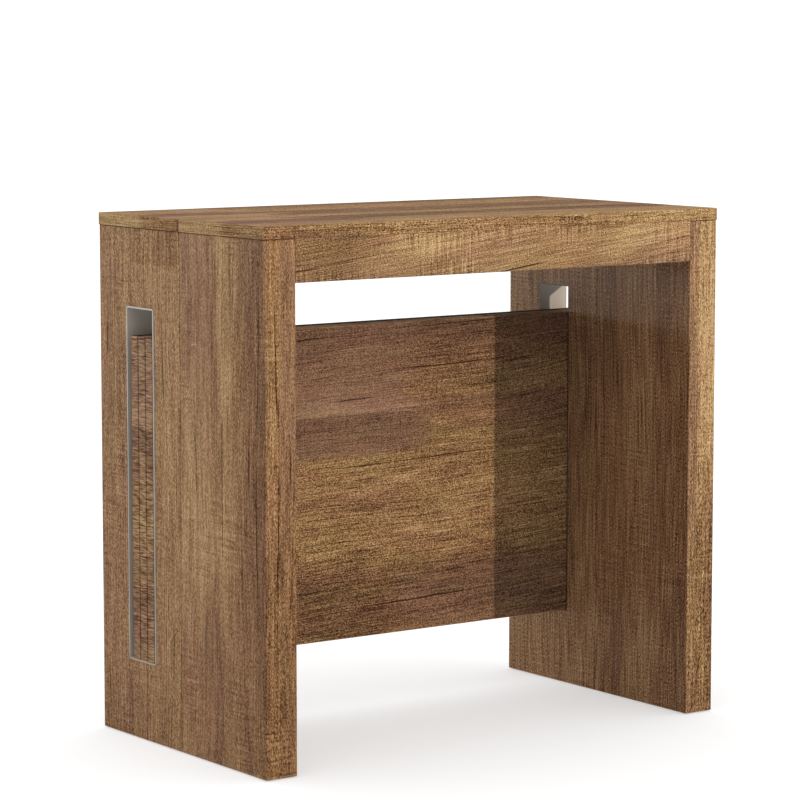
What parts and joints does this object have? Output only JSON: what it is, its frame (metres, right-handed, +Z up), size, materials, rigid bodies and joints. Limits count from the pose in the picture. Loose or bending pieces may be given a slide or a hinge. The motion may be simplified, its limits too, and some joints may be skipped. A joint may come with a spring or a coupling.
{
  "type": "extending console table",
  "caption": "Wood-effect console table in two halves on telescopic rails; the front half pulls out to take loose leaves that are stored on edge in lined slots through the legs.",
  "frame": {"origin": "on the floor, under the middle of the closed table", "axes": "+Z up; +X to the right of someone facing the table's front; the front faces -Y and pulls out along -Y"},
  "size_m": [0.816, 0.442, 0.77],
  "materials": {
    "board": "rustic walnut decor, satin lacquer",
    "rail_aluminium": "extruded, clear anodised",
    "angle_steel": "zinc plated sheet",
    "slide_nylon": "natural nylon",
    "liner": "satin grey with a silver rim",
    "screw_steel": "bright zinc",
    "dowel_beech": "bare beech",
    "glide_plastic": "brown nylon"
  },
  "bodies": {
    "rear_half": {"rear_top": "board", "rear_apron": "board", "rear_leg_left": "board", "rear_leg_right": "board", "rear_mounting_angle_left": "angle_steel", "rear_mounting_angle_right": "angle_steel", "rear_cleats": "angle_steel", "rear_wood_screws": "screw_steel", "rear_rail_screws": "screw_steel", "rear_dowels": "dowel_beech", "rear_glides": "glide_plastic", "rail_1_left": "rail_aluminium", "rail_1_right": "rail_aluminium", "slot_liner_left": "liner", "slot_liner_right": "liner", "wear_strips_1": "slide_nylon", "stop_screws_1": "screw_steel"},
    "front_half": {"front_top": "board", "front_apron": "board", "front_leg_left": "board", "front_leg_right": "board", "front_mounting_angle_left": "angle_steel", "front_mounting_angle_right": "angle_steel", "front_cleats": "angle_steel", "front_wood_screws": "screw_steel", "front_rail_screws": "screw_steel", "front_dowels": "dowel_beech", "front_glides": "glide_plastic", "rail_6_left": "rail_aluminium", "rail_6_right": "rail_aluminium", "slide_shoes_6": "slide_nylon"},
    "rail_stage_2": {"rail_2_left": "rail_aluminium", "rail_2_right": "rail_aluminium", "slide_shoes_2": "slide_nylon", "wear_strips_2": "slide_nylon", "stop_screws_2": "screw_steel"},
    "rail_stage_3": {"rail_3_left": "rail_aluminium", "rail_3_right": "rail_aluminium", "slide_shoes_3": "slide_nylon", "wear_strips_3": "slide_nylon", "stop_screws_3": "screw_steel"},
    "rail_stage_4": {"rail_4_left": "rail_aluminium", "rail_4_right": "rail_aluminium", "slide_shoes_4": "slide_nylon", "wear_strips_4": "slide_nylon", "stop_screws_4": "screw_steel"},
    "rail_stage_5": {"rail_5_left": "rail_aluminium", "rail_5_right": "rail_aluminium", "slide_shoes_5": "slide_nylon", "wear_strips_5": "slide_nylon", "stop_screws_5": "screw_steel"},
    "leaf_1": {"leaf_1": "board"},
    "leaf_2": {"leaf_2": "board"},
    "leaf_3": {"leaf_3": "board"}
  },
  "joints": [
    {"name": "extension", "type": "slide", "parent": "rear_half", "child": "front_half", "axis": [0, -1, 0], "range_m": [0, 1.434]},
    {"name": "rail_stage_2_slide", "type": "slide", "parent": "rear_half", "child": "rail_stage_2", "axis": [0, -1, 0], "range_m": [0, 0.2868]},
    {"name": "rail_stage_3_slide", "type": "slide", "parent": "rear_half", "child": "rail_stage_3", "axis": [0, -1, 0], "range_m": [0, 0.5736]},
    {"name": "rail_stage_4_slide", "type": "slide", "parent": "rear_half", "child": "rail_stage_4", "axis": [0, -1, 0], "range_m": [0, 0.8604]},
    {"name": "rail_stage_5_slide", "type": "slide", "parent": "rear_half", "child": "rail_stage_5", "axis": [0, -1, 0], "range_m": [0, 1.1472]},
    {"name": "leaf_1_draw", "type": "slide", "parent": "rear_half", "child": "leaf_1", "axis": [1, 0, 0], "range_m": [-0.83, 0.83]},
    {"name": "leaf_2_draw", "type": "slide", "parent": "rear_half", "child": "leaf_2", "axis": [1, 0, 0], "range_m": [-0.83, 0.83]},
    {"name": "leaf_3_draw", "type": "slide", "parent": "rear_half", "child": "leaf_3", "axis": [1, 0, 0], "range_m": [-0.83, 0.83]}
  ],
  "couplings": [
    {"joint": "rail_stage_2_slide", "follows": "extension", "ratio": 0.2},
    {"joint": "rail_stage_3_slide", "follows": "extension", "ratio": 0.4},
    {"joint": "rail_stage_4_slide", "follows": "extension", "ratio": 0.6},
    {"joint": "rail_stage_5_slide", "follows": "extension", "ratio": 0.8}
  ]
}
